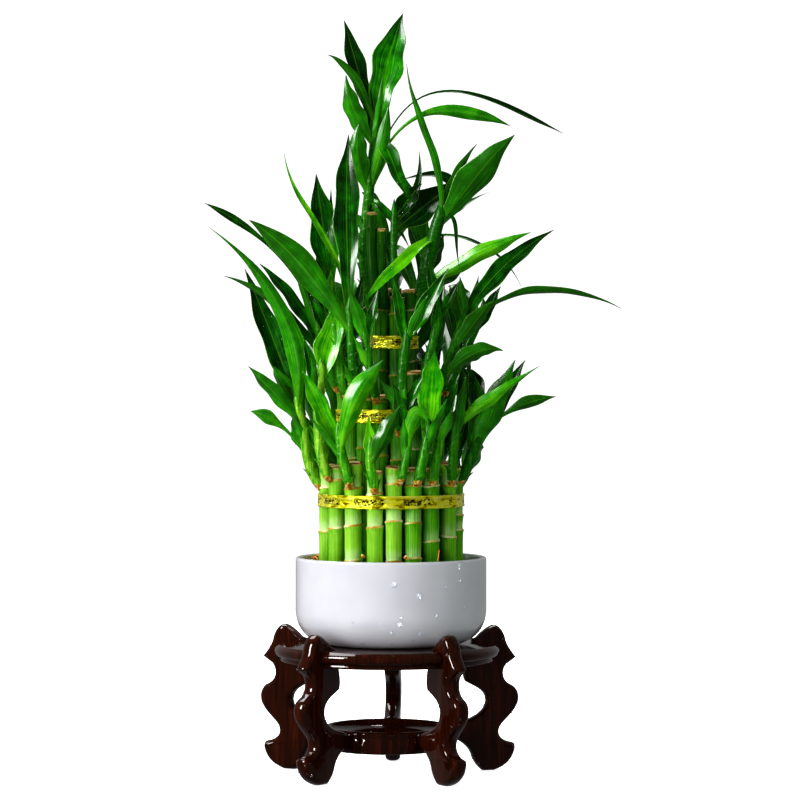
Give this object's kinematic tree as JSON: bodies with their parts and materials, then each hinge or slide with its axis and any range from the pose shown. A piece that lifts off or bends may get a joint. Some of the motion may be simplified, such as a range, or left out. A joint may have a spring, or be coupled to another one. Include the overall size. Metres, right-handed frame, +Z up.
{
  "type": "potted lucky bamboo",
  "caption": "Three tiers of tied lucky bamboo canes with leafy shoots, standing in water in a glazed bowl on a carved wooden stand; a table decoration.",
  "frame": {"origin": "middle of the footprint, on the surface that the stand rests on", "axes": "+Z up along the canes, -Y towards the viewer of the front, +X to the viewer's right"},
  "size_m": [0.333, 0.22, 0.608],
  "materials": {
    "cane": "living green cane, shoots and glossy leaves",
    "bowl": "white gloss glaze",
    "water": "clear water",
    "ribbon": "metallic yellow gold film, embossed",
    "wood": "dark red-brown gloss lacquer"
  },
  "bodies": {
    "root": {"stand_leg_1": "wood", "stand_leg_2": "wood", "stand_leg_3": "wood", "stand_leg_4": "wood", "stand_leg_5": "wood", "stand_board": "wood", "stand_ring": "wood", "bowl": "bowl", "ribbon_outer": "ribbon", "ribbon_middle": "ribbon", "ribbon_top": "ribbon", "water": "water", "cane_outer_01": "cane", "cane_outer_02": "cane", "cane_outer_03": "cane", "cane_outer_04": "cane", "cane_outer_05": "cane", "cane_outer_06": "cane", "cane_outer_07": "cane", "cane_outer_08": "cane", "cane_outer_09": "cane", "cane_outer_10": "cane", "cane_outer_11": "cane", "cane_outer_12": "cane", "cane_outer_13": "cane", "cane_outer_14": "cane", "cane_outer_15": "cane", "cane_outer_16": "cane", "cane_outer_17": "cane", "cane_outer_18": "cane", "cane_middle_01": "cane", "cane_middle_02": "cane", "cane_middle_03": "cane", "cane_middle_04": "cane", "cane_middle_05": "cane", "cane_middle_06": "cane", "cane_middle_07": "cane", "cane_middle_08": "cane", "cane_middle_09": "cane", "cane_middle_10": "cane", "cane_middle_11": "cane", "cane_middle_12": "cane", "cane_middle_13": "cane", "cane_middle_14": "cane", "cane_top_01": "cane", "cane_top_02": "cane", "cane_top_03": "cane", "cane_top_04": "cane", "cane_top_05": "cane", "cane_top_06": "cane", "cane_top_07": "cane"}
  },
  "joints": []
}
